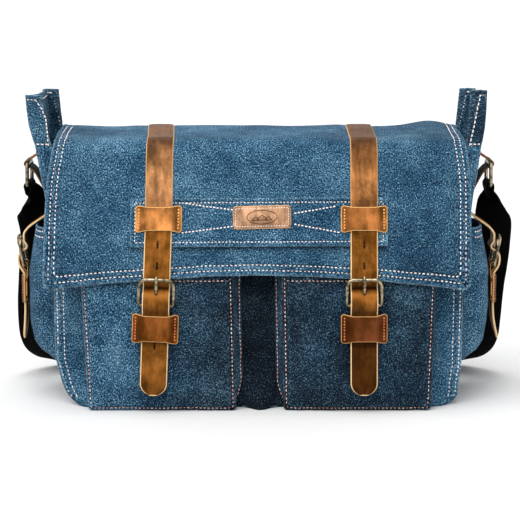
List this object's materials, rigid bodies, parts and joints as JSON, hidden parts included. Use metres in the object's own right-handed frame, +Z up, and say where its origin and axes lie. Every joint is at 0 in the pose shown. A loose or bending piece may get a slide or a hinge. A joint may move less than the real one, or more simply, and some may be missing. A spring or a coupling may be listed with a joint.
{
  "type": "messenger bag",
  "caption": "Denim messenger bag with a fold-over flap, buckled leather closure straps, front and side pockets, a padded divider and a webbing shoulder strap.",
  "frame": {"origin": "middle of the base, on the surface the bag stands on", "axes": "+Z up, -Y towards the front with the flap and pockets, +X to the right seen from the front"},
  "size_m": [0.534, 0.2886, 0.314],
  "materials": {
    "denim": "woven, matte",
    "lining": "woven, matte",
    "padding": "quilted, matte",
    "leather": "waxed, semi-matte",
    "brass": "antique, worn",
    "webbing": "ribbed, matte"
  },
  "bodies": {
    "bag": {"front_panel": "denim", "back_panel": "denim", "base_panel": "denim", "left_gusset": "denim", "right_gusset": "denim", "lining": "lining", "laptop_divider": "padding", "left_pocket_front": "denim", "right_pocket_front": "denim", "left_pocket_gusset": "denim", "right_pocket_gusset": "denim", "left_side_pocket": "denim", "right_side_pocket": "denim", "left_side_strap": "leather", "right_side_strap": "leather", "left_ring_tab": "leather", "right_ring_tab": "leather", "left_snap_base": "brass", "right_snap_base": "brass", "back_zip_tape": "lining", "shoulder_strap": "webbing"},
    "flap_top": {"flap_top_panel": "denim", "left_strap_top": "leather", "right_strap_top": "leather"},
    "flap_front": {"flap_front_panel": "denim", "flap_band": "denim", "label_patch": "leather", "left_strap": "leather", "right_strap": "leather", "left_upper_keeper": "leather", "right_upper_keeper": "leather"},
    "left_closure": {"left_strap_tail": "leather", "left_closure_tab": "leather", "left_lower_keeper": "leather", "left_snap_cap": "brass"},
    "left_buckle": {"left_buckle_frame": "brass"},
    "left_prong": {"left_prong": "brass"},
    "right_closure": {"right_strap_tail": "leather", "right_closure_tab": "leather", "right_lower_keeper": "leather", "right_snap_cap": "brass"},
    "right_buckle": {"right_buckle_frame": "brass"},
    "right_prong": {"right_prong": "brass"},
    "left_side_closure": {"left_side_strap_tail": "leather", "left_side_closure_tab": "leather", "left_side_lower_keeper": "leather"},
    "left_side_buckle": {"left_side_buckle_frame": "brass"},
    "left_side_prong": {"left_side_prong": "brass"},
    "right_side_closure": {"right_side_strap_tail": "leather", "right_side_closure_tab": "leather", "right_side_lower_keeper": "leather"},
    "right_side_buckle": {"right_side_buckle_frame": "brass"},
    "right_side_prong": {"right_side_prong": "brass"},
    "left_ring": {"left_strap_ring": "brass", "left_strap_loop": "webbing"},
    "right_ring": {"right_strap_ring": "brass", "right_strap_loop": "webbing"},
    "adjuster": {"strap_adjuster": "brass"},
    "zip_slider": {"back_zip_slider": "brass"},
    "zip_puller": {"back_zip_puller": "brass"}
  },
  "joints": [
    {"name": "flap_hinge", "type": "hinge", "parent": "bag", "child": "flap_top", "pos_m": [0, 0.061, 0.2735], "axis": [-1, 0, 0], "range_deg": [0, 105]},
    {"name": "flap_fold", "type": "hinge", "parent": "flap_top", "child": "flap_front", "pos_m": [0, -0.064, 0.2735], "axis": [-1, 0, 0], "range_deg": [0, 75]},
    {"name": "left_closure_swing", "type": "hinge", "parent": "flap_front", "child": "left_closure", "pos_m": [-0.102, -0.09681, 0.13833], "axis": [-1, 0, 0], "range_deg": [0, 60]},
    {"name": "left_buckle_tilt", "type": "hinge", "parent": "left_closure", "child": "left_buckle", "pos_m": [-0.10307, -0.09651, 0.11035], "axis": [0.9993, 0, -0.0384], "range_deg": [0, 22]},
    {"name": "left_prong_lift", "type": "hinge", "parent": "left_buckle", "child": "left_prong", "pos_m": [-0.10307, -0.09651, 0.11035], "axis": [0.9993, 0, -0.0384], "range_deg": [0, 48]},
    {"name": "right_closure_swing", "type": "hinge", "parent": "flap_front", "child": "right_closure", "pos_m": [0.105, -0.09681, 0.13833], "axis": [-1, 0, 0], "range_deg": [0, 60]},
    {"name": "right_buckle_tilt", "type": "hinge", "parent": "right_closure", "child": "right_buckle", "pos_m": [0.10519, -0.09651, 0.11033], "axis": [1, 0, 0.007], "range_deg": [0, 22]},
    {"name": "right_prong_lift", "type": "hinge", "parent": "right_buckle", "child": "right_prong", "pos_m": [0.10519, -0.09651, 0.11033], "axis": [1, 0, 0.007], "range_deg": [0, 48]},
    {"name": "left_side_closure_swing", "type": "hinge", "parent": "bag", "child": "left_side_closure", "pos_m": [-0.2435, 0, 0.166], "axis": [0, 1, 0], "range_deg": [0, 20]},
    {"name": "left_side_buckle_tilt", "type": "hinge", "parent": "left_side_closure", "child": "left_side_buckle", "pos_m": [-0.2432, 0, 0.138], "axis": [0, -1, 0], "range_deg": [0, 22]},
    {"name": "left_side_prong_lift", "type": "hinge", "parent": "left_side_buckle", "child": "left_side_prong", "pos_m": [-0.2432, 0, 0.138], "axis": [0, -1, 0], "range_deg": [0, 48]},
    {"name": "right_side_closure_swing", "type": "hinge", "parent": "bag", "child": "right_side_closure", "pos_m": [0.2435, 0, 0.166], "axis": [0, -1, 0], "range_deg": [0, 20]},
    {"name": "right_side_buckle_tilt", "type": "hinge", "parent": "right_side_closure", "child": "right_side_buckle", "pos_m": [0.2432, 0, 0.138], "axis": [0, 1, 0], "range_deg": [0, 22]},
    {"name": "right_side_prong_lift", "type": "hinge", "parent": "right_side_buckle", "child": "right_side_prong", "pos_m": [0.2432, 0, 0.138], "axis": [0, 1, 0], "range_deg": [0, 48]},
    {"name": "left_ring_swing", "type": "hinge", "parent": "bag", "child": "left_ring", "pos_m": [-0.238, 0, 0.244], "axis": [0, 1, 0], "range_deg": [-6, 25]},
    {"name": "right_ring_swing", "type": "hinge", "parent": "bag", "child": "right_ring", "pos_m": [0.238, 0, 0.244], "axis": [0, -1, 0], "range_deg": [-6, 25]},
    {"name": "adjuster_slide", "type": "slide", "parent": "bag", "child": "adjuster", "axis": [1, 0, 0], "range_m": [-0.03, 0.03]},
    {"name": "zip_slide", "type": "slide", "parent": "bag", "child": "zip_slider", "axis": [1, 0, 0], "range_m": [0, 0.226]},
    {"name": "zip_puller_swing", "type": "hinge", "parent": "zip_slider", "child": "zip_puller", "pos_m": [-0.113, 0.06525, 0.196], "axis": [1, 0, 0], "range_deg": [0, 160]}
  ]
}
